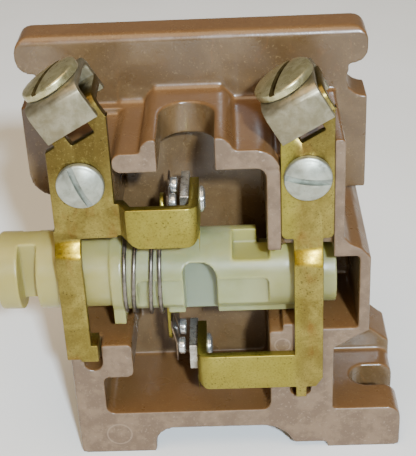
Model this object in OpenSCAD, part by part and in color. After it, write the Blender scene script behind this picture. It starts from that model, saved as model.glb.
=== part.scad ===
// Plunger-operated contact block: a phenolic half shell that stands on its feet and holds two
// brass terminals, a sliding nylon plunger and a spring-loaded bridge contact.
// Everything is drawn from the open parting face: X along the plunger, Y into the moulding
// from that face, Z up from the feet. placed() then moves the origin to the fixing slot.

/* [Housing] */
// Width of the moulded body between its left side and the lug, at the feet
body_w = 46.5; // [46:0.1:47.5]
// Height of the feet-to-roof part of the body
body_h = 61.5; // [61:0.1:62]
// Depth of the moulding from the open face to the rear face
depth = 28; // [27:0.5:32]
// Height of the top edge of the rail above the feet
rail_top = 74; // [73:0.5:76]
// Height of the rail itself
rail_h = 6.7; // [6:0.1:7]
// Depth of the front of the rail behind the open face
rail_y = 20.5; // [20:0.5:21.5]
// Depth of the contact chamber
chamber_d = 18.4; // [18:0.1:19]
// Width of the fixing slot in the foot lug
slot_w = 5.9; // [5:0.1:6.5]
// Thickness of the foot lug
lug_t = 8.8; // [8:0.1:9.5]

/* [Terminals] */
// Thickness of the terminal strip
strip_t = 1.6; // [1.2:0.1:1.8]
// Width of the left terminal strip
left_strip_w = 10.3; // [9.8:0.1:10.3]
// Width of the right terminal strip
right_strip_w = 8.7; // [8.4:0.1:8.7]
// Angle that the clamp end of each strip leans to the left
lean = 30; // [24:1:34]
// Height of the two terminal screws above the feet
screw_z = 56.4; // [56:0.1:56.8]
// Diameter of the terminal screw heads
small_head_d = 7.9; // [7.4:0.1:8.4]

/* [Wire clamps] */
// Diameter of the clamp screw heads
clamp_head_d = 10.2; // [9.5:0.1:10.6]
// Radius of the clamp screw shank
shank_r = 2.35; // [2.2:0.05:2.4]
// Thickness of the clamp saddle
saddle_t = 1.2; // [1:0.1:1.2]
// Width of the clamp saddle
saddle_w = 9.5; // [8.5:0.1:9.6]
// How far the left clamp stands open
left_open = 2.3; // [0.5:0.1:2.5]
// How far the right clamp stands open
right_open = 0.6; // [0.5:0.1:2.5]

/* [Plunger] */
// Radius of the plunger outside the chamber
rod_r = 6.9; // [6.5:0.1:6.9]
// Radius of the plunger inside the chamber, where the housing walls guide it
guide_r = 7.1; // [6.9:0.05:7.1]
// Radius of the plunger's nose
nose_r = 5.9; // [5.5:0.1:5.9]
// Length of the plunger from the hook to the nose
rod_l = 58.5; // [58:0.1:58.8]
// Radius of the spring collar
collar_r = 7.6; // [7.4:0.1:7.7]
// Travel of the plunger
travel = 3.2; // [2.5:0.1:3.2]

/* [Contact bridge] */
// Air gap at each pair of contacts before the plunger is pushed
contact_gap = 0.7; // [0.6:0.05:0.8]
// Diameter of the four moving contact studs
stud_d = 3; // [2.6:0.1:3.2]
// Distance between the two studs of a pair
stud_pitch = 6; // [5.6:0.1:6.2]
// Diameter of the spring wire
wire_d = 0.75; // [0.6:0.05:0.8]
// Outer radius of the contact spring
spring_r = 8.15; // [8:0.05:8.2]
// Number of turns of the contact spring
spring_turns = 3.25; // [3.25:1:4.25]

/* [Hidden] */
$fn = 48;
e = 0.01;

// Housing outline
left_x = -22.4;
right_x = left_x + body_w;
floor_z = 9;
foot_gap_z = 5.2;
block_x = -11.5;
block_z = 24.2;
undercut_x = -17;
undercut_z = 17.2;
wall_x0 = 12.8;
wall_x1 = 15.2;
wall_foot_z = 42.7;
sill_z = 26.2;
ledge_z = 27.7;
ceiling_z = 58.1;
boss_x = 7.4;
boss_z = 63.9;
pillar_z = 43;
pillar_top_z = 60.4;
column_x0 = 23.9;
column_x1 = 25.6;
column_top_z = 62.8;
channel_r = 4.65;
channel_y = 10.1;
pocket_x0 = 19;
pocket_x1 = 28.25;
pocket_z0 = 26.5;
pocket_z1 = 41;
pocket_out_x = 30.2;
pocket_d = 18;
ear_left_x = -29.5;
ear_right_x = 31.2;
ear_z = 43.5;
ear_top_z = 62.6;
neck_z = 64.6;
neck_r = 3.3;
lug_x = 36.4;
slot_x = 31;
slot_y = 10;
upstand_y = 18.3;

// Terminals
left_strip_x = left_x;
right_strip_x = wall_x1;
strip_foot_z = 46.2;
right_foot_z = 44.8;
turn_z = 68.2;
head_w = 10;
clamp_w = -5.2;
bend_r = 2.2;
flap_u = 4.4;
flap_end_y = 9;
left_window_u = -1.2;
right_window_u = -2.3;
window_h = 2.5;
collar_d = 6.4;
collar_l = 3.6;
leg_foot_z = 22.5;
arm_y = -2.4;
tab_x = 1.6;
upper_tab_z = [45.2, 52.5];
lower_tab_z = [15.2, 22.2];
upper_tab_y = 9;
lower_tab_y = 10;
small_shank_r = 2;
insert_r = 3;
insert_l = 8;
head_h = 2;

// Wire clamps
screw_y = 4.3;
leg_gap = 0.6;
front_leg_l = 5.4;

// Plunger, bridge and spring
axis_y = 8;
axis_z = 35.15;
hook_x = -33.8;
nose_x = hook_x + rod_l;
hook_l = 3.6;
hook_neck_l = 3.2;
collar_x = -14.2;
collar_t = 2;
foot_z = 27.15;
guide_end_x = 18.5;
tip_t = 1.5;
tip_x = tab_x - strip_t - tip_t;
upper_tip_y = [2.2, 11.6];
lower_tip_y = [3.2, 12.2];
upper_tip_z = [47, 52.4];
lower_tip_z = [16.3, 21.4];
upper_stud_z = 49.9;
lower_stud_z = 20.3;
stud_y = 8;
stud_l = 1.3;
stud_x = tip_x - contact_gap;
bar_x = -5.2;
bar_t = 0.7;
bar_w = 4;
bar_z = [20.4, 49.9];
slot_clear = 0.3;
slot_back = 2.9;
leaf_t = 0.3;
leaf_z = [18.3, 52];
leaf_neck = 8.4;
leaf_w = 9.6;
leaf_slit = 1.6;

// Moves the origin from the parting face to the fixing slot's round end
module placed() translate([-slot_x, -slot_y, 0]) children();

// Extrudes an outline drawn in X and Z through the depth range y0 to y1
module deep(y0, y1) translate([0, y1, 0]) rotate([90, 0, 0]) linear_extrude(y1 - y0) children();

// Extrudes an outline drawn in Y and Z along X
module along(x0, x1) translate([x0, 0, 0]) rotate([90, 0, 90]) linear_extrude(x1 - x0) children();

// A flat rectangle between two corners
module plate(x0, z0, x1, z1) translate([x0, z0]) square([x1 - x0, z1 - z0]);

// What is left of a square when a round of radius r is taken out, for corners and fillets
module corner(x, z, r, turn) {
    translate([x, z]) rotate(turn) difference() {
        translate([-e, -e]) square(r + e);
        translate([r, r]) circle(r);
    }
}

// A rectangle with its own radius at each corner
module rounded(x0, z0, x1, z1, bl = 0, br = 0, tr = 0, tl = 0) {
    difference() {
        plate(x0, z0, x1, z1);
        if (bl > 0) corner(x0, z0, bl, 0);
        if (br > 0) corner(x1, z0, br, 90);
        if (tr > 0) corner(x1, z1, tr, 180);
        if (tl > 0) corner(x0, z1, tl, 270);
    }
}

// The leaning frame at a strip's clamp end: X across the strip, Z along it
module leaning(x) translate([x, 0, turn_z]) rotate([0, -lean, 0]) children();

// ---------------------------------------------------------------- housing

// Feet, floor and the side walls of the lower chamber
module lower_outline() {
    difference() {
        union() {
            rounded(left_x, 0, right_x, floor_z, bl = 0.8);
            plate(left_x, floor_z - e, undercut_x, block_z);
            rounded(left_x, undercut_z, block_x, block_z, br = 1.2, tr = 0.8);
            plate(wall_x0, floor_z - e, right_x, sill_z);
            plate(wall_x1, sill_z - e, pocket_x0, ledge_z);
            corner(undercut_x, floor_z, 1.6, 0);
            corner(undercut_x, undercut_z, 1.2, 270);
            corner(wall_x0, floor_z, 1.6, 90);
        }
        arch_outline();
    }
}

// The gap between the feet, with one round end and one swept end
module arch_outline() {
    rounded(-8.4, -1, 17.35, foot_gap_z, tl = 3.4, tr = 6.15);
    plate(17, -1, 26.6, 1.1);
}

// Floor, roof and outer wall of the pocket that the plunger's nose enters
module pocket_outline() {
    difference() {
        union() {
            polygon([
                [pocket_x0 - 2, pocket_z0 - 6], [right_x, 22.2], [27.2, 24.2], [pocket_out_x, 25.9],
                [pocket_out_x, 40.7], [28.6, 42.5], [26.8, 43.4], [column_x1, 44.8],
                [column_x0, 44.8], [column_x0, 40], [pocket_x0 - 2, 40]
            ]);
        }
        plate(pocket_x0 - 3, pocket_z0, pocket_x1, pocket_z1);
    }
}

// Roof of the chamber with the raised boss around the half-round channel
module roof_outline() {
    rounded(-12, ceiling_z, wall_x1, body_h, tr = 4.2, tl = 1.5, bl = 1.5);
    rounded(-boss_x, ceiling_z, boss_x, boss_z, tl = 2.2, tr = 2.2);
    corner(boss_x, body_h, 1.2, 0);
}

// Side wall between the chamber and the right terminal
module wall_outline() {
    plate(wall_x0, wall_foot_z, wall_x1, body_h - 4);
    corner(wall_x0, ceiling_z, 1.5, 180);
}

// Ears, neck and hooked rail of the rear plate
module rail_outline() {
    difference() {
        union() {
            rounded(ear_left_x, ear_z, ear_right_x, ear_top_z, bl = 4.5, tl = 1.8, tr = 1.8);
            plate(ear_left_x + neck_r, 58, ear_right_x - neck_r, rail_top - 2);
            rounded(ear_left_x, rail_top - rail_h, ear_right_x, rail_top, bl = 2.8, br = 2.8, tr = 2.8, tl = 2.8);
        }
        for (x = [ear_left_x + 0.3, ear_right_x - 0.3]) translate([x, neck_z]) circle(neck_r);
    }
}

// Lug with its open-ended fixing slot
module lug() {
    difference() {
        deep(0, depth) rounded(right_x - 1, 0, lug_x, lug_t, br = 0.8, tr = 2.6);
        translate([slot_x, slot_y, -1]) cylinder(r = slot_w / 2, h = lug_t + 2);
        translate([slot_x, slot_y - slot_w / 2, -1]) cube([lug_x, slot_w, lug_t + 2]);
    }
    deep(upstand_y, depth) polygon([
        [right_x - 1, 1], [lug_x, 1], [lug_x, 10.4], [32.3, 13.8], [right_x - 1, 20.8]
    ]);
}

module housing() {
    color([0.48, 0.34, 0.25]) difference() {
        union() {
            deep(0, depth) lower_outline();
            difference() {
                deep(0, depth) pocket_outline();
            }
            deep(0, depth) roof_outline();
            deep(0, depth) wall_outline();
            deep(pocket_d, depth) plate(pocket_x0 - 3, pocket_z0 - 1, pocket_x1 + 1, pocket_z1 + 1);
            deep(chamber_d, depth) difference() {
                rounded(left_x, 0, right_x, body_h);
                arch_outline();
            }
            deep(strip_t + e, depth) plate(left_x, strip_foot_z + 0.1, -12, pillar_top_z);
            deep(strip_t + e, depth) plate(wall_x1 - e, pillar_z, column_x0 + e, pillar_top_z);
            deep(0, depth) rounded(column_x0, pocket_z1 + 1, column_x1, column_top_z, tr = 0.6);
            deep(rail_y, depth) rail_outline();
            root_fillets();
            lug();
        }
        for (x = [left_strip_x + left_strip_w / 2, right_strip_x + right_strip_w / 2]) {
            translate([x, strip_t, screw_z]) rotate([-90, 0, 0]) cylinder(r = insert_r, h = insert_l + 2.4);
        }
        deep(-1, channel_y) plate(-channel_r, ceiling_z - 1, channel_r, boss_z + 1);
        translate([0, channel_y, ceiling_z - 1]) cylinder(r = channel_r, h = boss_z - ceiling_z + 2);
        left_notch();
        right_notch();
        // Rounded front edges of the rail and of the bar's top
        along(ear_left_x - 1, ear_right_x + 1) corner(rail_y, rail_top, 1.6, 270);
        along(ear_left_x - 1, ear_right_x + 1) corner(depth, rail_top, 1, 180);
    }
}

// Fillets where the roof, the boss and the pillars run into the rear plate
module root_fillets() {
    along(-12, -boss_x + e) corner(rail_y + e, body_h - e, 1.3, 90);
    along(boss_x - e, wall_x1) corner(rail_y + e, body_h - e, 1.3, 90);
    along(-boss_x + 1.5, boss_x - 1.5) corner(rail_y + e, boss_z - e, 1.3, 90);
    along(left_x, -12) corner(rail_y + e, pillar_top_z - e, 1.3, 90);
    along(wall_x1, column_x0) corner(rail_y + e, pillar_top_z - e, 1.3, 90);
}

// Notch that holds the left terminal's toe
module left_notch() {
    deep(-1, 3.6) union() {
        translate([-18.5, 20.5]) circle(1.6);
        plate(-20.1, 20.5, -16.9, block_z + 1);
    }
}

// Notch that holds the right terminal's toe
module right_notch() {
    deep(-1, 3.6) rounded(16.4, 12.2, 20.1, 15.8, bl = 1.2, br = 1.2);
}

// ---------------------------------------------------------------- terminals

// Leaning end of a strip: it bends back to a flap with a tapped collar below it
module clamp_end() {
    difference() {
        union() {
            translate([-head_w, 0, -e]) cube([head_w, strip_t, flap_u - bend_r + 2 * e]);
            along(-head_w, 0) difference() {
                rounded(0, flap_u - bend_r, bend_r + e, flap_u, tl = bend_r);
                translate([bend_r, flap_u - bend_r]) circle(bend_r - strip_t);
                plate(strip_t, flap_u - bend_r - 1, bend_r + 1, flap_u - bend_r);
            }
            translate([-head_w, bend_r, flap_u - strip_t]) cube([head_w, flap_end_y - bend_r, strip_t]);
            translate([clamp_w, screw_y, flap_u - collar_l]) cylinder(d = collar_d, h = collar_l - e);
        }
        translate([clamp_w, screw_y, -5]) cylinder(r = shank_r + 0.05, h = 12);
    }
}

// Slit in the strip below the flap, which shows under the saddle
module clamp_window(u) translate([clamp_w - 2.3, -1, u]) cube([4.4, strip_t + 1 + e, window_h]);

// Flat strip from its foot up to the leaning end
module strip_outline(x0, w, foot) {
    x1 = x0 + w;
    polygon([
        [x0, foot], [x1, foot], [x1, turn_z],
        [x1 - head_w * cos(lean), turn_z - head_w * sin(lean)], [x0, turn_z - head_w * sin(lean) - 1]
    ]);
}

// A strip's step from the plane of the open face to the plane of its leg, with soft bends
function ease(t) = t * t * (3 - 2 * t);
module leg_step(x0, x1, z1, z0) {
    drop = z1 - z0;
    along(x0, x1) polygon(concat(
        [[strip_t, z1 + 1.6], [0, z1 + 1.6]],
        [for (k = [0 : 8]) [-strip_t * ease(k / 8), z1 - drop * k / 8]],
        [[-strip_t, z0 - 1.2], [0, z0 - 1.2]],
        [for (k = [8 : -1 : 0]) [strip_t - strip_t * ease(k / 8), z1 - 0.4 - drop * k / 8]]
    ));
}

module left_terminal() {
    leg_x0 = left_x - 0.3;
    leg_x1 = leg_x0 + 4.4;
    color([0.66, 0.57, 0.29]) difference() {
        union() {
            deep(0, strip_t) strip_outline(left_strip_x, left_strip_w, strip_foot_z);
            leaning(left_strip_x + left_strip_w) clamp_end();
            leg_step(leg_x0, leg_x1, strip_foot_z, 42.8);
            deep(-strip_t, 0) plate(leg_x0, leg_foot_z, leg_x1, 42.2);
            deep(-strip_t, 0) plate(leg_x1 - 2, 22, -17.2, 25.4);
            deep(-strip_t, 2.6) plate(-18.8, 22, -17.2, 25.4);
            translate([0, 0, strip_foot_z + 0.4]) {
                linear_extrude(upper_tab_z[1] - strip_foot_z - 0.4) polygon([
                    [-12.8, 0], [-12.8, strip_t], [-10.7, strip_t], [-9.4, arm_y + strip_t],
                    [-9.4, arm_y], [-10.1, arm_y], [-11.4, 0]
                ]);
            }
            deep(arm_y, arm_y + strip_t) {
                rounded(-10.3, upper_tab_z[0], tab_x - bend_r + e, upper_tab_z[1], bl = 2.6);
            }
            tab(arm_y, upper_tab_y, upper_tab_z);
        }
        deep(arm_y - 1, 0.4) corner(tab_x, upper_tab_z[0], 2, 90);
        leaning(left_strip_x + left_strip_w) clamp_window(left_window_u);
        translate([left_strip_x + left_strip_w / 2, -1, screw_z]) rotate([-90, 0, 0]) cylinder(r = 2.2, h = 4);
    }
}

// The end of an arm, bent back into the chamber to carry a fixed contact
module tab(y0, y1, z) {
    translate([0, 0, z[0]]) linear_extrude(z[1] - z[0]) {
        difference() {
            translate([tab_x - bend_r, y0 + bend_r]) difference() {
                circle(bend_r);
                circle(bend_r - strip_t);
            }
            plate(-9, y0 - 1, tab_x - bend_r, y1);
            plate(-9, y0 + bend_r, tab_x + 1, y1);
        }
        plate(tab_x - strip_t, y0 + bend_r - e, tab_x, y1);
    }
}

module right_terminal() {
    leg_x0 = 17.2;
    leg_x1 = 22.1;
    color([0.66, 0.57, 0.29]) difference() {
        union() {
            deep(0, strip_t) strip_outline(right_strip_x, right_strip_w, right_foot_z);
            leaning(right_strip_x + right_strip_w) clamp_end();
            leg_step(leg_x0, leg_x1, 43.4, 39.9);
            deep(-strip_t, 0) polygon([
                [leg_x0, lower_tab_z[0]], [leg_x1 - 1.2, lower_tab_z[0]], [leg_x1, lower_tab_z[0] + 1.9],
                [leg_x1, 39.3], [leg_x0, 39.3]
            ]);
            deep(-strip_t, 0) plate(tab_x - strip_t + bend_r - e, lower_tab_z[0], leg_x0 + 1, lower_tab_z[1]);
            deep(-strip_t, 2.6) plate(17.4, 13, 19.2, lower_tab_z[0] + e);
            mirror([1, 0, 0]) translate([strip_t - 2 * tab_x, 0, 0]) tab(-strip_t, lower_tab_y, lower_tab_z);
        }
        deep(-strip_t - 1, 0.9) corner(tab_x - strip_t, lower_tab_z[0], 1.8, 0);
        for (side = [0, 1]) mirror([side, 0, 0]) translate([side * (-2 * right_strip_x - right_strip_w), 0, 0]) {
            deep(-1, strip_t + 1) corner(right_strip_x, right_foot_z, 1.1, 0);
        }
        leaning(right_strip_x + right_strip_w) clamp_window(right_window_u);
        translate([right_strip_x + right_strip_w / 2, -1, screw_z]) rotate([-90, 0, 0]) cylinder(r = 2.2, h = 4);
    }
}

// A slotted screw with its head's underside at the origin, head up
module slotted_screw(head_d, r, l, slot_turn) {
    difference() {
        union() {
            cylinder(d = head_d, h = head_h * 0.7);
            translate([0, 0, head_h * 0.7 - e]) cylinder(d1 = head_d, d2 = head_d - 1.6, h = head_h * 0.3);
            translate([0, 0, -l]) cylinder(r = r, h = l + e);
        }
        rotate([0, 0, slot_turn]) translate([-head_d, -0.65, head_h - 0.9]) cube([head_d * 2, 1.3, 2]);
    }
}

module terminal_screw(x, slot_turn) {
    color([0.8, 0.8, 0.78]) translate([x, 0, screw_z]) rotate([90, 0, 0]) {
        slotted_screw(small_head_d, small_shank_r, 9, slot_turn);
    }
}

module left_terminal_screw() terminal_screw(left_strip_x + left_strip_w / 2, -66);
module right_terminal_screw() terminal_screw(right_strip_x + right_strip_w / 2, -6);

// Threaded brass insert moulded into the pillar behind a strip
module insert(x) {
    color([0.72, 0.6, 0.3]) translate([x, strip_t + 2 * e, screw_z]) rotate([-90, 0, 0]) difference() {
        cylinder(r = insert_r - 0.01, h = insert_l);
        translate([0, 0, -1]) cylinder(r = small_shank_r + 0.05, h = insert_l + 2);
    }
}

module left_insert() insert(left_strip_x + left_strip_w / 2);
module right_insert() insert(right_strip_x + right_strip_w / 2);

// ---------------------------------------------------------------- wire clamps

// Saddle bent to an upside-down U: a top plate with a leg before and a leg behind the strip
module saddle(x, gap) {
    base_u = flap_u + gap;
    top_u = base_u + saddle_t;
    front_y = -leg_gap - saddle_t;
    back_y = flap_end_y + 0.3;
    color([0.72, 0.7, 0.62]) leaning(x) difference() {
        translate([clamp_w - saddle_w / 2, 0, 0]) along(0, saddle_w) difference() {
            rounded(front_y, base_u - front_leg_l, back_y + saddle_t, top_u, tl = 2, tr = 2);
            rounded(-leg_gap, base_u - front_leg_l - 1, back_y, base_u, tl = 0.8, tr = 0.8);
        }
        translate([clamp_w, screw_y, base_u - 1]) cylinder(r = shank_r + 0.3, h = saddle_t + 2);
    }
}

module left_clamp() saddle(left_strip_x + left_strip_w, left_open);
module right_clamp() saddle(right_strip_x + right_strip_w, right_open);

module clamp_screw(x, gap, slot_turn) {
    color([0.68, 0.66, 0.5]) leaning(x) {
        translate([clamp_w, screw_y, flap_u + gap + saddle_t + 0.05]) {
            slotted_screw(clamp_head_d, shank_r, 5.1 + gap, slot_turn);
        }
    }
}

module left_clamp_screw() clamp_screw(left_strip_x + left_strip_w, left_open, 74);
module right_clamp_screw() clamp_screw(right_strip_x + right_strip_w, right_open, 70);

// ---------------------------------------------------------------- fixed contacts

// Silver bar on the face of a tab
module fixed_contact(y, z) {
    color([0.8, 0.79, 0.75]) translate([tip_x, y[0], z[0]]) cube([tip_t, y[1] - y[0], z[1] - z[0]]);
}

module upper_fixed_contact() fixed_contact(upper_tip_y, upper_tip_z);
module lower_fixed_contact() fixed_contact(lower_tip_y, lower_tip_z);

// Rivet head on the far side of a tab
module contact_rivet(z) {
    color([0.83, 0.82, 0.78]) translate([tab_x, 7, z]) rotate([0, 90, 0]) {
        cylinder(d = 4.5, h = 0.6);
        translate([0, 0, 0.6 - e]) cylinder(d1 = 4.5, d2 = 3, h = 0.4);
    }
}

module upper_contact_rivet() contact_rivet(49.3);
module lower_contact_rivet() contact_rivet(18.8);

// ---------------------------------------------------------------- plunger and bridge

// One round length of the plunger, its middle raised by lift above the axis
module rod(x0, x1, r, lift = 0) along(x0, x1) translate([axis_y, axis_z + lift]) circle(r);

module plunger() {
    color([0.74, 0.76, 0.58]) difference() {
        union() {
            rod(hook_x, hook_x + hook_l, rod_r, 0.5);
            hook_neck();
            rod(hook_x + hook_l + hook_neck_l, collar_x + e, rod_r, 0.5);
            collar();
            rod(collar_x + collar_t - e, guide_end_x, guide_r);
            // Flat underside of the length in the chamber
            along(-4.6, guide_end_x) plate(axis_y - 4, axis_z - guide_r, axis_y + 4, axis_z);
            rod(guide_end_x - e, nose_x, nose_r, -1);
        }
        // Slot through which the bridge passes
        translate([bar_x - slot_back, axis_y - bar_w / 2 - slot_clear, 0]) {
            cube([bar_t + leaf_t + slot_back + slot_clear, bar_w + 2 * slot_clear, 60]);
        }
        // Notch in the front of the top, cut through to the back at its right end
        translate([6.9, -1, 39.6]) cube([6.3, 9.4, 4]);
        translate([11.1, 8.3, 36.5]) cube([2.1, 10, 8]);
        // Deep window open at the bottom, and a shallow recess on each side of it
        deep(-1, 5.6) rounded(-1.75, 20, 4.05, 39.3, tl = 1.6, tr = 2.6);
        deep(-1, 2.2) rounded(-9.7, 29.7, -1.7, 36.6, bl = 1, tl = 1);
        deep(-1, 2.2) rounded(4, 29.7, 13, 36.6, br = 1, tr = 1);
    }
}

// Web that joins the hooked head to the rod
module hook_neck() {
    along(hook_x + hook_l - e, hook_x + hook_l + hook_neck_l + e) difference() {
        translate([axis_y, axis_z + 0.5]) circle(rod_r);
        plate(0, 0, axis_y - 2.4, 60);
        plate(axis_y + 2.4, 0, 20, 60);
        plate(0, 0, 20, axis_z - 3.9);
    }
}

// Flange that the spring pushes against, with a square foot
module collar() {
    along(collar_x, collar_x + collar_t) {
        translate([axis_y, axis_z]) circle(collar_r);
        rounded(axis_y - 6, foot_z, axis_y + 6, axis_z, bl = 0.6, br = 0.6);
    }
}

// Points round the wire at turn t of the helix, which has a dead turn at each end
function helix_x(t, x0, x1) = x0 + (x1 - x0) * (t - 0.1 * sin(360 * t));
function helix_ring(t, x, sides) = [
    for (k = [0 : sides - 1])
        let (a = 360 * spring_turns * t + 234, c = 360 * k / sides, r = spring_r + wire_d / 2 * (cos(c) - 1))
            [x + wire_d / 2 * sin(c), axis_y + r * sin(a), axis_z + r * cos(a)]
];

module contact_spring() {
    sides = 8;
    steps = 36 * spring_turns;
    x0 = collar_x + collar_t + wire_d / 2 + 0.02;
    x1 = bar_x - wire_d / 2 - 0.02;
    points = [for (i = [0 : steps]) each helix_ring(i / steps, helix_x(i / steps, x0, x1), sides)];
    walls = [
        for (i = [0 : steps - 1]) for (k = [0 : sides - 1])
            [i * sides + k, i * sides + (k + 1) % sides, (i + 1) * sides + (k + 1) % sides, (i + 1) * sides + k]
    ];
    start = [for (k = [sides - 1 : -1 : 0]) k];
    finish = [for (k = [0 : sides - 1]) steps * sides + k];
    color([0.42, 0.4, 0.38]) polyhedron(points, concat([start], walls, [finish]));
}

// Stiff bar that the spring pushes
module bridge_bar() {
    color([0.6, 0.58, 0.55]) along(bar_x, bar_x + bar_t) difference() {
        translate([axis_y, 0]) {
            rounded(-bar_w / 2, bar_z[0], bar_w / 2, bar_z[1], bl = 1.9, br = 1.9, tl = 1.9, tr = 1.9);
        }
        translate([axis_y, axis_z]) circle(0.95);
    }
}

// Thin copper leaf on the bar, with two fingers at each end that lean to the fixed contacts
module contact_leaf() {
    x0 = bar_x + bar_t;
    x1 = stud_x - stud_l;
    neck = [axis_z - leaf_neck, axis_z + leaf_neck];
    half = leaf_w / 2;
    color([0.72, 0.45, 0.3]) difference() {
        union() {
            translate([x0, axis_y - bar_w / 2, neck[0] - e]) cube([leaf_t, bar_w, neck[1] - neck[0] + 2 * e]);
            deep(axis_y - half, axis_y + half) {
                polygon([
                    [x0, neck[0]], [x0, neck[0] - 1.2], [x1 - leaf_t, lower_stud_z + 1.8], [x1 - leaf_t, leaf_z[0]],
                    [x1, leaf_z[0]], [x1, lower_stud_z + 1.8], [x0 + leaf_t, neck[0] - 1.2], [x0 + leaf_t, neck[0]]
                ]);
                polygon([
                    [x0, neck[1]], [x0, neck[1] + 1.2], [x1 - leaf_t, upper_stud_z - 1.8], [x1 - leaf_t, leaf_z[1]],
                    [x1, leaf_z[1]], [x1, upper_stud_z - 1.8], [x0 + leaf_t, neck[1] + 1.2], [x0 + leaf_t, neck[1]]
                ]);
            }
        }
        translate([-9, axis_y - leaf_slit / 2, 0]) cube([9, leaf_slit, neck[0] - 2]);
        translate([-9, axis_y - leaf_slit / 2, neck[1] + 2]) cube([9, leaf_slit, 20]);
        translate([-9, axis_y, axis_z]) rotate([0, 90, 0]) cylinder(r = 0.95, h = 9);
    }
}

// Rivet that holds the leaf to the bar
module bridge_rivet() {
    color([0.7, 0.58, 0.3]) translate([bar_x, axis_y, axis_z]) rotate([0, 90, 0]) {
        translate([0, 0, -0.35]) cylinder(d = 3, h = 0.35);
        cylinder(r = 0.93, h = bar_t + leaf_t);
    }
}

// A pair of silver studs at one end of the leaf
module studs(z) {
    color([0.86, 0.86, 0.84]) for (side = [-1, 1]) {
        translate([stud_x - stud_l, stud_y + side * stud_pitch / 2, z]) rotate([0, 90, 0]) {
            cylinder(d = stud_d, h = stud_l);
        }
    }
}

module upper_studs() studs(upper_stud_z);
module lower_studs() studs(lower_stud_z);

placed() housing();
placed() left_terminal();
placed() right_terminal();
placed() left_terminal_screw();
placed() right_terminal_screw();
placed() left_insert();
placed() right_insert();
placed() left_clamp();
placed() right_clamp();
placed() left_clamp_screw();
placed() right_clamp_screw();
placed() upper_fixed_contact();
placed() lower_fixed_contact();
placed() upper_contact_rivet();
placed() lower_contact_rivet();
placed() plunger();
placed() contact_spring();
placed() bridge_bar();
placed() contact_leaf();
placed() bridge_rivet();
placed() upper_studs();
placed() lower_studs();
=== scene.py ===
import bpy, bmesh
from math import cos, sin, radians, pi
from mathutils import Matrix, Vector


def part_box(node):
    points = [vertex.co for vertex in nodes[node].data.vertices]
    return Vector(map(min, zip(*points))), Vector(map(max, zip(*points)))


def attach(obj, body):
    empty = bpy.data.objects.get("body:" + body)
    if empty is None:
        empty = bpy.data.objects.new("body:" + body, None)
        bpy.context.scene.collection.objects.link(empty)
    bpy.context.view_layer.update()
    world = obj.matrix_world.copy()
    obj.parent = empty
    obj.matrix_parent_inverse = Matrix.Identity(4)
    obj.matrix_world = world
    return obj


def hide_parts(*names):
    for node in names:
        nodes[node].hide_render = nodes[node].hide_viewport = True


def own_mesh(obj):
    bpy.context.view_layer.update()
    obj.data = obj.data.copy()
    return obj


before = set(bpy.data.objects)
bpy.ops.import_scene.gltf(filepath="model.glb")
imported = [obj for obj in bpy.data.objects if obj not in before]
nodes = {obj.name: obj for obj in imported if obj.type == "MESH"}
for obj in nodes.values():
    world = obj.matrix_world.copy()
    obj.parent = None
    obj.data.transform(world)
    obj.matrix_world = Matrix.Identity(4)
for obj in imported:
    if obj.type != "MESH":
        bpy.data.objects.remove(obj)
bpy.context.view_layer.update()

# ---- Camera ---------------------------------------------------------------------------------
# A longish lens looking down at the open side from in front, tipped a little to the left.
turn, drop, tip = radians(-2.0), radians(30.0), radians(2.85)
eye = Vector((-0.02221, -0.1744, 0.1425))
film_mm, focal_mm = 36, 90.71052631578948
ahead = Vector((sin(turn) * cos(drop), cos(turn) * cos(drop), -sin(drop)))
level = Vector((cos(turn), -sin(turn), 0))
down = ahead.cross(level)
right = level * cos(tip) + down * sin(tip)
down = down * cos(tip) - level * sin(tip)
lens = bpy.data.cameras.new("camera")
lens.sensor_width = film_mm
lens.lens = focal_mm
lens.clip_start = 0.01
lens.dof.use_dof = False
camera = bpy.data.objects.new("camera", lens)
camera.matrix_world = Matrix((
    (right.x, -down.x, -ahead.x, eye.x),
    (right.y, -down.y, -ahead.y, eye.y),
    (right.z, -down.z, -ahead.z, eye.z),
    (0, 0, 0, 1)))
bpy.context.scene.collection.objects.link(camera)
bpy.context.scene.camera = camera

# ---- Moulded half shell ---------------------------------------------------------------------
# Brown wood-flour phenolic, pressed in a hot steel mould: glossy skin with a fine pale filler
# grain, rounded edges, and dull rims on the parting face where the flash was rubbed off.
def colour(code):
    """Linear colour of a paint code such as #a08060."""
    parts = [int(code[i:i + 2], 16) / 255 for i in (1, 3, 5)]
    return tuple(c / 12.92 if c <= 0.04045 else ((c + 0.055) / 1.055) ** 2.4 for c in parts) + (1,)

def feed(tree, socket, value):
    """Links a socket to another, or sets it to a value."""
    if isinstance(value, bpy.types.NodeSocket):
        tree.links.new(value, socket)
    else:
        socket.default_value = value

def put(tree, kind, settings=None, **inputs):
    """Adds one node. An input is named, or numbered as in _0; it takes a value or a socket."""
    node = tree.nodes.new(kind)
    for key, value in (settings or {}).items():
        setattr(node, key, value)
    for key, value in inputs.items():
        feed(tree, node.inputs[int(key[1:]) if key[0] == "_" else key.replace("_", " ")], value)
    return node

def finish_named(name):
    """A new material, its tree and shader, the place in millimetres and the coordinates node."""
    material = bpy.data.materials.new(name)
    material.use_nodes = True
    tree = material.node_tree
    shader = tree.nodes["Principled BSDF"]
    spot = put(tree, "ShaderNodeTexCoord")
    place = put(tree, "ShaderNodeVectorMath", {"operation": "SCALE"}, _0=spot.outputs["Object"],
                Scale=1000.0)
    return material, tree, shader, place.outputs[0], spot

def grain(tree, place, size, detail=3.0, rough=0.5, stretch=(1, 1, 1), warp=0.0):
    """Noise whose lumps are about size millimetres across."""
    if stretch != (1, 1, 1):
        place = put(tree, "ShaderNodeMapping", _0=place, Scale=stretch).outputs[0]
    return put(tree, "ShaderNodeTexNoise", _0=place, Scale=1.0 / size, Detail=detail,
               Roughness=rough, Distortion=warp).outputs["Fac"]

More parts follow.
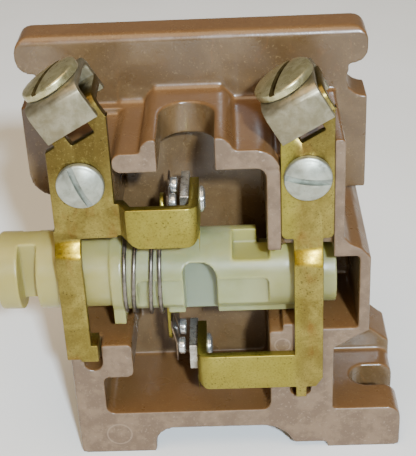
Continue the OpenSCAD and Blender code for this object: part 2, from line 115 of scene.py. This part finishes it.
def spread(tree, value, low, high, to_low=0.0, to_high=1.0):
    """Stretches the part of a value between low and high to a new range."""
    return put(tree, "ShaderNodeMapRange", {"interpolation_type": "SMOOTHSTEP"}, _0=value,
               _1=low, _2=high, _3=to_low, _4=to_high).outputs[0]

def blend(tree, amount, first, second):
    """Mixes two colours by an amount."""
    return put(tree, "ShaderNodeMix", {"data_type": "RGBA"}, _0=amount, _6=first, _7=second).outputs[2]

def relief(tree, height, depth, strength=1.0, under=None):
    """Bump from a height of depth millimetres."""
    node = put(tree, "ShaderNodeBump", Height=height, Distance=depth / 1000, Strength=strength)
    if under:
        tree.links.new(under, node.inputs["Normal"])
    return node.outputs[0]

def math(tree, kind, first, second=0.5):
    """One sum on two values."""
    return put(tree, "ShaderNodeMath", {"operation": kind}, _0=first, _1=second).outputs[0]

parting_y = -9.8                                            # just behind the parting face, in mm
ejector_pins = ((-46.1, 4.2, 2.25), (-15.9, 23.3, 1.35))    # x, z and radius in mm
dull_rim = (0.55, 0.55, 0.55, 1)
phenolic, t, shader, place, spot = finish_named("moulded_phenolic")
cloud = grain(t, place, 9.0, 4.0, 0.6, warp=0.6)
fleck = grain(t, place, 0.45, 2.0, 0.6)
streak = grain(t, place, 2.2, 3.0, 0.6, (1, 1, 0.45), 1.2)
axes = put(t, "ShaderNodeSeparateXYZ", _0=place).outputs
facing = put(t, "ShaderNodeSeparateXYZ", _0=spot.outputs["Normal"]).outputs
skin = blend(t, spread(t, cloud, 0.38, 0.66), colour("#533e25"), colour("#624c31"))
# Painted warm light: faces turned upwards are more orange, as if lit by the warm lamp overhead.
skin = blend(t, spread(t, facing[2], 0.15, 0.6, 0, 0.7), skin, colour("#6b4928"))
skin = blend(t, spread(t, streak, 0.54, 0.8, 0, 0.4), skin, colour("#6c4a28"))
skin = blend(t, spread(t, fleck, 0.58, 0.78, 0, 0.28), skin, colour("#a08860"))
skin = blend(t, spread(t, grain(t, place, 0.3, 1.0), 0.28, 0.4, 0.4, 0), skin, colour("#3f2c1e"))
front = math(t, "LESS_THAN", axes[1], parting_y)
rim = math(t, "MULTIPLY", front, math(t, "LESS_THAN", facing[1], -0.75))
rubbed = blend(t, spread(t, grain(t, place, 3.0, 4.0, 0.65), 0.4, 0.62),
               colour("#5f4a36"), colour("#705a44"))
rubbed = blend(t, spread(t, fleck, 0.58, 0.75, 0, 0.45), rubbed, colour("#8f7a68"))
# Rings left by two ejector pins.
flat = put(t, "ShaderNodeCombineXYZ", X=axes[0], Y=0.0, Z=axes[2]).outputs[0]
for pin_x, pin_z, pin_r in ejector_pins:
    away = put(t, "ShaderNodeVectorMath", {"operation": "DISTANCE"}, _0=flat,
               _1=(pin_x, 0, pin_z)).outputs["Value"]
    off_ring = math(t, "ABSOLUTE", math(t, "SUBTRACT", away, pin_r))
    rubbed = blend(t, spread(t, off_ring, 0.05, 0.2, 0.28, 0), rubbed, colour("#a08a76"))
t.links.new(blend(t, rim, skin, rubbed), shader.inputs["Base Color"])
gloss = spread(t, grain(t, place, 5.0, 3.0), 0.35, 0.7, 0.27, 0.4)
t.links.new(blend(t, rim, gloss, dull_rim), shader.inputs["Roughness"])
shader.inputs["Specular IOR Level"].default_value = 0.5
shader.inputs["Coat Weight"].default_value = 0.25
shader.inputs["Coat Roughness"].default_value = 0.16
wave = relief(t, grain(t, place, 6.0, 2.0), 0.10)
t.links.new(relief(t, fleck, 0.02, 0.6, wave), shader.inputs["Normal"])

def joined_copy(name, node, flatten):
    """A copy of a CAD node with its corners joined, and if flatten is set its flat faces too."""
    mesh = nodes[node].data.copy()
    mesh.name = name
    form = bmesh.new()
    form.from_mesh(mesh)
    bmesh.ops.remove_doubles(form, verts=form.verts, dist=2e-6)
    if flatten:
        bmesh.ops.dissolve_limit(form, angle_limit=radians(0.6), verts=form.verts, edges=form.edges)
        for face in form.faces:
            face.smooth = True
    form.to_mesh(mesh)
    form.free()
    piece = bpy.data.objects.new(name, mesh)
    bpy.context.scene.collection.objects.link(piece)
    return piece

def settle(piece):
    """Turns what the modifiers make into a plain mesh."""
    depsgraph = bpy.context.evaluated_depsgraph_get()
    result = bpy.data.meshes.new_from_object(piece.evaluated_get(depsgraph))
    piece.modifiers.clear()
    piece.data = result

def rounded_copy(name, node, edge, segments, angle):
    """A copy of a CAD node whose edges sharper than an angle are rounded."""
    piece = joined_copy(name, node, True)
    soft = piece.modifiers.new("edges", "BEVEL")
    soft.limit_method = "ANGLE"
    soft.angle_limit = radians(angle)
    soft.width = edge
    soft.segments = segments
    soft.use_clamp_overlap = False
    soft.harden_normals = True
    soft.miter_outer = "MITER_ARC"
    settle(piece)
    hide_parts(node)
    return piece

def dress(piece, material):
    """Gives a piece one material."""
    piece.data.materials.clear()
    piece.data.materials.append(material)
    return piece

def moulded_copy(name, node, cell, rounds, keep):
    """A copy of a CAD node as a pressed moulding: recast in cells, its edges eased, then thinned."""
    piece = joined_copy(name, node, False)
    cast = piece.modifiers.new("cast", "REMESH")
    cast.mode = "VOXEL"
    cast.voxel_size = cell
    cast.use_smooth_shade = True
    ease = piece.modifiers.new("ease", "SMOOTH")
    ease.factor = 0.5
    ease.iterations = rounds
    thin = piece.modifiers.new("thin", "DECIMATE")
    thin.ratio = keep
    settle(piece)
    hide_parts(node)
    return piece

shell = dress(moulded_copy("half_shell", "housing", cell=0.00032, rounds=2, keep=0.3), phenolic)
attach(shell, "housing")

# ---- Terminal strips ------------------------------------------------------------------------
# Two stampings of 1.6 mm half-hard brass, aged to olive with dark specks and patches of warm
# tarnish. They are darker at the top with painted shade, darkest at the top left, lighter on
# the arms, and carry a painted warm reflection on the bends.
bend_low, bend_high = 38.5, 47.5                            # heights of the two bends with a painted warm reflection, in mm
brass, t, shader, place, spot = finish_named("aged_brass")
facing = put(t, "ShaderNodeSeparateXYZ", _0=spot.outputs["Normal"]).outputs
base = blend(t, spread(t, grain(t, place, 5.0, 4.0, 0.6, warp=0.5), 0.35, 0.65),
             colour("#786830"), colour("#968746"))
tarnish = spread(t, grain(t, place, 4.0, 3.0, 0.6, (1, 1, 0.5)), 0.54, 0.74, 0, 0.6)
base = blend(t, tarnish, base, colour("#805424"))
side, _, height = put(t, "ShaderNodeSeparateXYZ", _0=place).outputs
# Painted shade: darker towards the top, round the clamp screw and its flap.
base = blend(t, spread(t, height, 57.0, 64.0, 0, 0.75), base, colour("#5f4f24"))
# Painted shade on the upper part of the left strip, darker still.
left_top_painted_shade = math(t, "MULTIPLY", spread(t, height, 48.0, 60.0, 0, 0.7), spread(t, side, -38.0, -41.0))
base = blend(t, left_top_painted_shade, base, colour("#5a4820"))
# Lighter and more golden on the arms.
arms = math(t, "MULTIPLY", spread(t, side, -42.0, -40.0, 0, 0.6), spread(t, side, -12.0, -15.0))
base = blend(t, arms, base, colour("#a0963f"))
# Painted reflection: the upward faces of the bends turn warm gold, as if mirroring the lamp overhead.
painted_bend_reflection = spread(t, facing[2], 0.12, 0.4, 0, 0.95)
painted_bend_reflection = math(t, "MULTIPLY", painted_bend_reflection, math(t, "LESS_THAN", height, bend_high))
painted_bend_reflection = math(t, "MULTIPLY", painted_bend_reflection, math(t, "GREATER_THAN", height, bend_low))
base = blend(t, painted_bend_reflection, base, colour("#8e7416"))
for speck, near in ((1.5, 3.5), (2.8, 5.0)):
    dots = put(t, "ShaderNodeTexVoronoi", {"feature": "F1"}, _0=place, Scale=speck, Randomness=1.0)
    dot = math(t, "MULTIPLY", spread(t, dots.outputs["Distance"], 0.12, 0.30, 1, 0),
               spread(t, grain(t, place, near, 2.0), 0.48, 0.62))
    base = blend(t, math(t, "MULTIPLY", dot, 0.6), base, colour("#3a2e18"))
fine = grain(t, place, 0.35, 3.0, 0.7)
base = blend(t, spread(t, fine, 0.48, 0.3, 0, 0.55), base, colour("#5a4c24"))
base = blend(t, spread(t, fine, 0.54, 0.7, 0, 0.28), base, colour("#aa9c5c"))
t.links.new(base, shader.inputs["Base Color"])
shader.inputs["Metallic"].default_value = 0.95
matt = spread(t, grain(t, place, 1.2, 4.0, 0.7), 0.3, 0.7, 0.38, 0.54)
sheen = math(t, "SUBTRACT", matt, spread(t, facing[2], 0.12, 0.4, 0, 0.1))
t.links.new(sheen, shader.inputs["Roughness"])
peel = relief(t, grain(t, place, 0.6, 3.0, 0.6), 0.02, 0.7)
rolled = grain(t, place, 0.25, 2.0, 0.6, (0.3, 1, 1))
t.links.new(relief(t, rolled, 0.008, 0.6, peel), shader.inputs["Normal"])
for name, node in (("left_strip", "left_terminal"), ("right_strip", "right_terminal")):
    strip = dress(rounded_copy(name, node, edge=0.00016, segments=2, angle=35), brass)
    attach(strip, "housing")

# ---- Threaded inserts -----------------------------------------------------------------------
# Turned brass bushes moulded into the two pillars, with fine rings from the lathe. They are
# hidden in the block; only their bores could ever be seen.
bush, t, shader, place, spot = finish_named("turned_brass")
rings = put(t, "ShaderNodeTexWave", {"bands_direction": "Y"}, _0=place, Scale=2.0, Distortion=0.6)
tone = blend(t, rings.outputs["Fac"], colour("#a88c4a"), colour("#c8ac62"))
t.links.new(tone, shader.inputs["Base Color"])
shader.inputs["Metallic"].default_value = 1.0
t.links.new(spread(t, rings.outputs["Fac"], 0, 1, 0.25, 0.4), shader.inputs["Roughness"])
for node in ("left_insert", "right_insert"):
    dress(nodes[node], bush)

# ---- Slotted screws -------------------------------------------------------------------------
# Cheese-head machine screws, headed and slotted, with rolled threads. One tree makes all four:
# a lathe profile for the head, a slot cut across it, and a thread ridge wound round the shank.
def new_tree(name, sizes):
    """A Geometry Nodes tree with its sizes and material as named inputs."""
    tree = bpy.data.node_groups.new(name, "GeometryNodeTree")
    tree.interface.new_socket(name="Geometry", in_out="OUTPUT", socket_type="NodeSocketGeometry")
    for label, value in sizes:
        size = tree.interface.new_socket(name=label, in_out="INPUT", socket_type="NodeSocketFloat")
        size.default_value = value
    tree.interface.new_socket(name="Material", in_out="INPUT", socket_type="NodeSocketMaterial")
    return tree

def grow(name, tree, material, **inputs):
    """Runs a tree on an empty mesh and keeps the result as a plain mesh."""
    piece = bpy.data.objects.new(name, bpy.data.meshes.new(name))
    bpy.context.scene.collection.objects.link(piece)
    live = piece.modifiers.new("make", "NODES")
    live.node_group = tree
    inputs["Material"] = material
    for item in tree.interface.items_tree:
        if item.in_out == "INPUT" and item.name.replace(" ", "_") in inputs:
            live[item.identifier] = inputs[item.name.replace(" ", "_")]
    settle(piece)
    return piece

slot_width = 0.0010
g = screw_tree = new_tree("slotted_screw", (
    ("Head Radius", 0.004), ("Head Height", 0.002), ("Crown", 0.0005), ("Shank Radius", 0.002),
    ("Length", 0.009), ("Slot Width", slot_width), ("Slot Depth", 0.0010), ("Slot Turn", 0.0),
    ("Pitch", 0.00106)))
ask = {o.name: o for o in put(g, "NodeGroupInput").outputs}

def calc(kind, a, b=0.0):
    """One sum in the tree being built."""
    return put(g, "ShaderNodeMath", {"operation": kind}, _0=a, _1=b).outputs[0]

def vector(x=0.0, y=0.0, z=0.0):
    """Three values as one vector in the tree being built."""
    return put(g, "ShaderNodeCombineXYZ", X=x, Y=y, Z=z).outputs[0]

# Half profile from the middle of the crown, over the rim and down the side to the shank's tip.
crown_steps = 12
profile_points = crown_steps + 10
brow = 0.0004                       # radius of the rounded rim of the head
line = put(g, "GeometryNodeCurvePrimitiveLine", Start=(0, 0, 0), End=(1, 0, 0))
line = put(g, "GeometryNodeResampleCurve", _0=line.outputs[0], Count=profile_points)
index = put(g, "GeometryNodeInputIndex").outputs[0]
along_crown = calc("MINIMUM", calc("DIVIDE", index, float(crown_steps)), 1.0)
edge_r = calc("SUBTRACT", ask["Head Radius"], brow)
edge_z = calc("SUBTRACT", ask["Head Height"], ask["Crown"])
dome = calc("MULTIPLY", calc("SUBTRACT", 1.0, calc("POWER", along_crown, 2.0)), ask["Crown"])
x, z = calc("MULTIPLY", along_crown, edge_r), calc("ADD", edge_z, dome)
rows = [(edge_r, edge_z)]
for bend in (radians(30), radians(60), radians(90)):
    rows.append((calc("ADD", edge_r, brow * sin(bend)), calc("SUBTRACT", edge_z, brow * (1 - cos(bend)))))
underside_edge = 0.00015
tip = calc("MULTIPLY", ask["Length"], -1.0)
rows += [(ask["Head Radius"], underside_edge),
         (calc("SUBTRACT", ask["Head Radius"], underside_edge), 0.0),
         (ask["Shank Radius"], 0.0), (ask["Shank Radius"], calc("MULTIPLY", ask["Length"], -0.94)),
         (calc("MULTIPLY", ask["Shank Radius"], 0.8), tip), (0.0, tip)]
for k, (row_x, row_z) in enumerate(rows):
    here = put(g, "FunctionNodeCompare", {"data_type": "INT", "operation": "EQUAL"},
               _2=index, _3=crown_steps + k).outputs[0]
    x = put(g, "GeometryNodeSwitch", {"input_type": "FLOAT"}, _0=here, _1=x, _2=row_x).outputs[0]
    z = put(g, "GeometryNodeSwitch", {"input_type": "FLOAT"}, _0=here, _1=z, _2=row_z).outputs[0]
profile = put(g, "GeometryNodeSetPosition", _0=line.outputs[0], Position=vector(x, 0.0, z))
# The lathe: copies of the profile set round the axis and joined as a grid.
ring_count = 64
grid = put(g, "GeometryNodeMeshGrid", Size_X=1.0, Size_Y=1.0,
           Vertices_X=ring_count + 1, Vertices_Y=profile_points)
column = calc("FLOOR", calc("DIVIDE", calc("ADD", index, 0.5), float(profile_points)))
row = calc("SUBTRACT", index, calc("MULTIPLY", column, float(profile_points)))
position = put(g, "GeometryNodeInputPosition").outputs[0]
sampled = put(g, "GeometryNodeSampleIndex", {"data_type": "FLOAT_VECTOR", "domain": "POINT"},
              _0=profile.outputs[0], Value=position, Index=row).outputs[0]
angle = calc("MULTIPLY", column, 2 * pi / ring_count)
turned = put(g, "ShaderNodeVectorRotate", {"rotation_type": "Z_AXIS"},
             Vector=sampled, Angle=angle).outputs[0]
lathe = put(g, "GeometryNodeSetPosition", _0=grid.outputs[0], Position=turned)
solid = put(g, "GeometryNodeMergeByDistance", _0=lathe.outputs[0], Distance=1e-6)
# The slot: a bar cut out of the crown.
bar_length, bar_height = 0.03, 0.004
slot_floor = calc("SUBTRACT", ask["Head Height"], ask["Slot Depth"])
cutter = put(g, "GeometryNodeMeshCube", Size=vector(bar_length, ask["Slot Width"], bar_height))
cutter = put(g, "GeometryNodeTransform", _0=cutter.outputs[0],
             Translation=vector(z=calc("ADD", slot_floor, bar_height / 2)),
             Rotation=vector(z=ask["Slot Turn"]))
slotted = put(g, "GeometryNodeMeshBoolean", {"operation": "DIFFERENCE", "solver": "EXACT"},
              _0=solid.outputs[0], _1=cutter.outputs[0])
# The thread: a ridge wound down the shank.
threaded = calc("MULTIPLY", ask["Length"], 0.8)
helix = put(g, "GeometryNodeCurveSpiral", Resolution=28, Rotations=calc("DIVIDE", threaded, ask["Pitch"]),
            Start_Radius=ask["Shank Radius"], End_Radius=ask["Shank Radius"], Height=threaded)
helix = put(g, "GeometryNodeTransform", _0=helix.outputs[0],
            Translation=vector(z=calc("MULTIPLY", ask["Length"], -0.93)))
ridge = put(g, "GeometryNodeCurvePrimitiveCircle", {"mode": "RADIUS"}, Resolution=4,
            Radius=calc("MULTIPLY", ask["Pitch"], 0.3))
thread = put(g, "GeometryNodeCurveToMesh", _0=helix.outputs[0], _1=ridge.outputs[0], Fill_Caps=True)
both = put(g, "GeometryNodeJoinGeometry")
g.links.new(slotted.outputs[0], both.inputs[0])
g.links.new(thread.outputs[0], both.inputs[0])

def close_tree(shape):
    """Ends the tree being built: smooth shading, plain geometry and its material."""
    smooth = put(g, "GeometryNodeSetShadeSmooth", _0=shape.outputs[0])
    real = put(g, "GeometryNodeRealizeInstances", _0=smooth.outputs[0])
    done = put(g, "GeometryNodeSetMaterial", _0=real.outputs[0], Material=ask["Material"])
    put(g, "NodeGroupOutput", _0=done.outputs[0])

close_tree(both)

def plated(name, pale, deep, stain, stain_amount, low, high):
    """Plated metal: patchy tarnish, fine specks of dirt, fine tool marks, a soft shine."""
    material, t, shader, place, spot = finish_named(name)
    clouds = spread(t, grain(t, place, 1.6, 3.0, 0.55, warp=0.4), 0.25, 0.75)
    tone = blend(t, clouds, colour(deep), colour(pale))
    stains = spread(t, grain(t, place, 2.4, 3.0), 0.5, 0.75, 0, stain_amount * 0.6)
    tone = blend(t, stains, tone, colour(stain))
    tone = blend(t, spread(t, grain(t, place, 0.3, 2.0), 0.4, 0.28, 0, 0.2), tone, colour("#54503f"))
    t.links.new(tone, shader.inputs["Base Color"])
    shader.inputs["Metallic"].default_value = 0.85
    t.links.new(spread(t, grain(t, place, 0.8, 4.0, 0.7), 0.3, 0.7, low, high), shader.inputs["Roughness"])
    marks = grain(t, place, 0.35, 3.0, 0.6, (0.25, 1, 1))
    t.links.new(relief(t, marks, 0.012, 0.7), shader.inputs["Normal"])
    return material

# Zinc is a cool pale grey and nickel a warm yellow one; each has a darker twin for its slot: grime with
# painted shade.
zinc_slot_grime_and_shade = plated("slot_grime", "#a0a499", "#777a70", "#5e5a48", 0.4, 0.45, 0.6)
nickel_slot_grime_and_shade = plated("slot_tarnish", "#6d5c34", "#4c3f22", "#3a2f1a", 0.4, 0.45, 0.6)
zinc = plated("white_zinc", "#b6b8aa", "#989a8c", "#a09474", 0.4, 0.32, 0.5)
nickel = plated("yellowed_nickel", "#c4bc94", "#a39a6c", "#86763f", 0.5, 0.26, 0.4)

def line_slot(screw, sizes, grime_and_shade):
    """Gives the walls and floor of the slot their own darker metal: grime with painted shade in the slot."""
    metal = screw.data.materials[-1]
    screw.data.materials.clear()
    screw.data.materials.append(metal)
    screw.data.materials.append(grime_and_shade)
    slot_turn, half_slot, below_slot = sizes["Slot_Turn"], slot_width / 2 + 0.00001, 0.0005
    for face in screw.data.polygons:
        c = face.center
        off_middle = abs(c.y * cos(slot_turn) - c.x * sin(slot_turn))
        inside = c.x ** 2 + c.y ** 2 < (sizes["Head_Radius"] - 0.00005) ** 2
        in_slot = off_middle < half_slot and inside and below_slot < c.z < sizes["Head_Height"]
        face.material_index = 1 if in_slot else 0

def outward(piece):
    """Turns every face of a closed piece outwards."""
    form = bmesh.new()
    form.from_mesh(piece.data)
    bmesh.ops.remove_doubles(form, verts=form.verts, dist=1e-6)
    bmesh.ops.recalc_face_normals(form, faces=form.faces)
    form.to_mesh(piece.data)
    form.free()

def sharp_by_angle(piece, degrees):
    """Keeps edges sharper than an angle crisp in the shading."""
    form = bmesh.new()
    form.from_mesh(piece.data)
    for edge in form.edges:
        if len(edge.link_faces) == 2 and edge.calc_face_angle(0) > radians(degrees):
            edge.smooth = False
    form.to_mesh(piece.data)
    form.free()

clamp_lean = radians(30)
lean = Matrix.Rotation(-clamp_lean, 4, "Y")
face_on = Matrix.Rotation(radians(90), 4, "X")
up_clamp = Vector((-sin(clamp_lean), 0, cos(clamp_lean)))
across_clamp = Vector((cos(clamp_lean), 0, sin(clamp_lean)))

def clamp_seat(flap_x, lift):
    """The underside of a clamp screw's head, lift above the foot of its flap."""
    return Vector((flap_x, -0.0057, 0.0682)) - across_clamp * 0.0052 + up_clamp * lift

terminal = dict(Head_Radius=0.00395, Head_Height=0.002, Crown=0.0009, Shank_Radius=0.00196,
                Length=0.009, Pitch=0.00079)
clamping = dict(Head_Radius=0.0051, Head_Height=0.002, Crown=0.0006, Shank_Radius=0.0022,
                Slot_Turn=radians(66))
screws = (
    ("left_terminal_screw", Vector((-0.04825, -0.010, 0.0564)), face_on, "housing",
     dict(terminal, Slot_Turn=radians(112))),
    ("right_terminal_screw", Vector((-0.01145, -0.010, 0.0564)), face_on, "housing",
     dict(terminal, Slot_Turn=radians(-8))),
    ("left_clamp_screw", clamp_seat(-0.0431, 0.00795), lean, "left_clamp_screw",
     dict(clamping, Length=0.0074)),
    ("right_clamp_screw", clamp_seat(-0.0071, 0.00625), lean, "right_clamp_screw",
     dict(clamping, Length=0.0057)),
)
for node, seat, stand, body, sizes in screws:
    on_strip = body == "housing"
    screw = grow(node + "_turned", screw_tree, zinc if on_strip else nickel, **sizes)
    line_slot(screw, sizes, zinc_slot_grime_and_shade if on_strip else nickel_slot_grime_and_shade)
    screw.data.transform(Matrix.Translation(seat) @ stand)
    outward(screw)
    sharp_by_angle(screw, 38)
    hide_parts(node)
    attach(screw, body)

# ---- Clamp saddles --------------------------------------------------------------------------
# Pressed steel, folded to an upside-down U over the flap and zinc plated. Handling has worn the
# plating to a dull, warm grey with yellowed patches.
clamp_zinc = plated("scuffed_zinc", "#948c75", "#786f56", "#7a6538", 0.35, 0.34, 0.48)
for name, node in (("left_saddle", "left_clamp"), ("right_saddle", "right_clamp")):
    saddle = dress(rounded_copy(name, node, edge=0.00014, segments=2, angle=35), clamp_zinc)
    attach(saddle, node)

# ---- Fixed contacts -------------------------------------------------------------------------
# Silver bars riveted through the tabs, dull and sooty at the face; the rivet heads are bright.
silver = plated("contact_silver", "#d4d0c4", "#9b958a", "#6a6258", 0.5, 0.22, 0.42)
bright = plated("bright_silver", "#e4e4e0", "#c8c8c4", "#a8a49a", 0.25, 0.12, 0.26)
for name, node in (("upper_bar", "upper_fixed_contact"), ("lower_bar", "lower_fixed_contact"),
                   ("upper_rivet_head", "upper_contact_rivet"), ("lower_rivet_head", "lower_contact_rivet")):
    contact = rounded_copy(name, node, edge=0.00018, segments=3, angle=30)
    dress(contact, silver if "bar" in name else bright)
    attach(contact, "housing")

# ---- Plunger --------------------------------------------------------------------------------
# Unfilled nylon, injection moulded: waxy and translucent, greener where it is thick and
# yellowed towards the hooked end, with soft moulded edges.
nylon, t, shader, place, spot = finish_named("cream_nylon")
px, py, pz = put(t, "ShaderNodeSeparateXYZ", _0=place).outputs
wax = blend(t, spread(t, grain(t, place, 7.0, 3.0), 0.35, 0.65), colour("#84865a"), colour("#95976f"))
# Yellower towards the hook and the nose, and in the notch on top.
wax = blend(t, spread(t, px, -37.0, -52.0, 0, 0.78), wax, colour("#9c8c48"))
wax = blend(t, spread(t, px, -26.0, -16.0, 0, 0.5), wax, colour("#857c46"))
wax = blend(t, spread(t, grain(t, place, 2.0, 3.0), 0.55, 0.8, 0, 0.3), wax, colour("#8f844a"))
notch = math(t, "MULTIPLY", spread(t, pz, 38.5, 39.6), spread(t, px, -25.0, -24.0, 0, 0.6))
wax = blend(t, notch, wax, colour("#9c9448"))
# Greyer at the back of the window, which lies deep and in shade.
well = math(t, "MULTIPLY", spread(t, px, -33.0, -32.2), spread(t, px, -26.7, -27.5))
well = math(t, "MULTIPLY", well, spread(t, py, -7.4, -5.5, 0, 0.6))
well = math(t, "MULTIPLY", well, math(t, "LESS_THAN", pz, 39.2))
wax = blend(t, well, wax, colour("#67746c"))
t.links.new(wax, shader.inputs["Base Color"])
shader.inputs["Subsurface Weight"].default_value = 0.8
shader.inputs["Subsurface Radius"].default_value = (1.0, 1.0, 0.45)
shader.inputs["Subsurface Scale"].default_value = 0.003
shader.inputs["Specular IOR Level"].default_value = 0.45
t.links.new(spread(t, grain(t, place, 3.0, 3.0), 0.3, 0.7, 0.28, 0.42), shader.inputs["Roughness"])
t.links.new(relief(t, grain(t, place, 1.6, 3.0), 0.03, 0.6), shader.inputs["Normal"])
rod = dress(moulded_copy("plunger_rod", "plunger", cell=0.0002, rounds=4, keep=0.35), nylon)
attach(rod, "plunger")

# ---- Contact spring -------------------------------------------------------------------------
# Oil-tempered music wire, grey-brown with a soft shine, wound with a half-dead coil at each end.
# The tree bends a spiral so that the end coils lie close and the middle opens.
wire_radius = 0.000375
axis_y, axis_z, bridge_x = -0.002, 0.03515, -0.04285
g = spring_tree = new_tree("wound_spring", (
    ("Coil Radius", 0.007775), ("Wire Radius", wire_radius), ("Turns", 3.25),
    ("Start Angle", radians(234)), ("Length", 0.006215), ("Closing", 0.1)))
ask = {o.name: o for o in put(g, "NodeGroupInput").outputs}
coil = put(g, "GeometryNodeCurvePrimitiveLine", Start=(0, 0, 0), End=(1, 0, 0))
coil = put(g, "GeometryNodeResampleCurve", _0=coil.outputs[0], Count=240)
share = put(g, "GeometryNodeSplineParameter").outputs[0]
swing = calc("MULTIPLY", calc("SINE", calc("MULTIPLY", share, 2 * pi)), ask["Closing"])
swept = calc("ADD", calc("MULTIPLY", calc("MULTIPLY", share, ask["Turns"]), 2 * pi), ask["Start Angle"])
on_coil = vector(calc("MULTIPLY", calc("SUBTRACT", share, swing), ask["Length"]),
                 calc("MULTIPLY", calc("SINE", swept), ask["Coil Radius"]),
                 calc("MULTIPLY", calc("COSINE", swept), ask["Coil Radius"]))
coil = put(g, "GeometryNodeSetPosition", _0=coil.outputs[0], Position=on_coil)
section = put(g, "GeometryNodeCurvePrimitiveCircle", {"mode": "RADIUS"}, Resolution=16,
              Radius=ask["Wire Radius"])
close_tree(put(g, "GeometryNodeCurveToMesh", _0=coil.outputs[0], _1=section.outputs[0], Fill_Caps=True))
music_wire = plated("music_wire", "#8a8278", "#5c554d", "#4a3a2c", 0.3, 0.25, 0.4)
spring = grow("contact_spring_wire", spring_tree, music_wire)
low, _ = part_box("contact_spring")
spring.data.transform(Matrix.Translation((low.x + wire_radius, axis_y, axis_z)))
outward(spring)
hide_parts("contact_spring")
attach(spring, "plunger")
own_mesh(spring)

# ---- Bridge contact -------------------------------------------------------------------------
# A stiff steel bar, passivated so that it is as yellow as the brass, a springy copper leaf
# riveted to it, and four silver studs welded on the leaf's fingers. The leaf was rolled, then
# darkened by heat; the studs stay bright.
copper, t, shader, place, spot = finish_named("rolled_copper")
tone = blend(t, spread(t, grain(t, place, 2.0, 4.0), 0.35, 0.65), colour("#55463a"), colour("#84705a"))
tone = blend(t, spread(t, grain(t, place, 0.8, 3.0), 0.5, 0.7, 0, 0.6), tone, colour("#3f322c"))
t.links.new(tone, shader.inputs["Base Color"])
shader.inputs["Metallic"].default_value = 0.9
t.links.new(spread(t, grain(t, place, 0.7, 3.0), 0.3, 0.7, 0.3, 0.48), shader.inputs["Roughness"])
for name, node, material, slot in (("bridge_bar_plate", "bridge_bar", brass, "bridge_steel"),
                                   ("finger_leaf", "contact_leaf", copper, "leaf_copper"),
                                   ("bridge_rivet_head", "bridge_rivet", bush, "insert_brass")):
    piece = dress(rounded_copy(name, node, edge=0.00009, segments=2, angle=35), material)
    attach(piece, "contact_bridge")
for name, node in (("upper_stud_pair", "upper_studs"), ("lower_stud_pair", "lower_studs")):
    piece = dress(rounded_copy(name, node, edge=0.0003, segments=4, angle=30), bright)
    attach(piece, "contact_bridge")

# ---- Floor, light and room ------------------------------------------------------------------
# A flat sheet of matt pale paper, a small cool lamp in front to the right, a large warm one
# overhead and a weak warm fill.
half_width, half_depth = 0.9, 0.6
paper_mesh = bpy.data.meshes.new("paper")
paper_mesh.from_pydata([(-half_width, -half_depth, 0), (half_width, -half_depth, 0),
                        (half_width, half_depth, 0), (-half_width, half_depth, 0)], [], [(0, 1, 2, 3)])
paper = bpy.data.objects.new("paper", paper_mesh)
bpy.context.scene.collection.objects.link(paper)
sheet, t, shader, place, spot = finish_named("pale_paper")
tone = blend(t, spread(t, grain(t, place, 60.0, 2.0), 0.3, 0.7), colour("#e9e9e6"), colour("#eeeeed"))
t.links.new(tone, shader.inputs["Base Color"])
shader.inputs["Roughness"].default_value = 0.9
dress(paper, sheet)

def lamp(name, place, size, watts, tint):
    """A square or oblong lamp turned towards the middle of the part."""
    light = bpy.data.lights.new(name, "AREA")
    light.shape = "RECTANGLE"
    light.size, light.size_y = size
    light.energy = watts
    light.color = tint
    holder = bpy.data.objects.new(name, light)
    holder.location = place
    holder.rotation_euler = (Vector((-0.03, 0, 0.03)) - Vector(place)).to_track_quat("-Z", "Y").to_euler()
    bpy.context.scene.collection.objects.link(holder)

lamp("key", (0.155, -0.689, 0.493), (0.05, 0.05), 16.0, (0.72, 0.86, 1.0))
lamp("ceiling", (-0.10, -0.20, 0.75), (0.6, 0.6), 4.6, (1.0, 0.76, 0.48))
lamp("front", (-0.15, -0.85, 0.35), (0.5, 0.4), 1.2, (1.0, 0.84, 0.62))
world = bpy.data.worlds.new("room")
world.use_nodes = True
fill = world.node_tree.nodes["Background"]
fill.inputs["Color"].default_value = (1.0, 0.89, 0.72, 1)
fill.inputs["Strength"].default_value = 0.22
bpy.context.scene.world = world
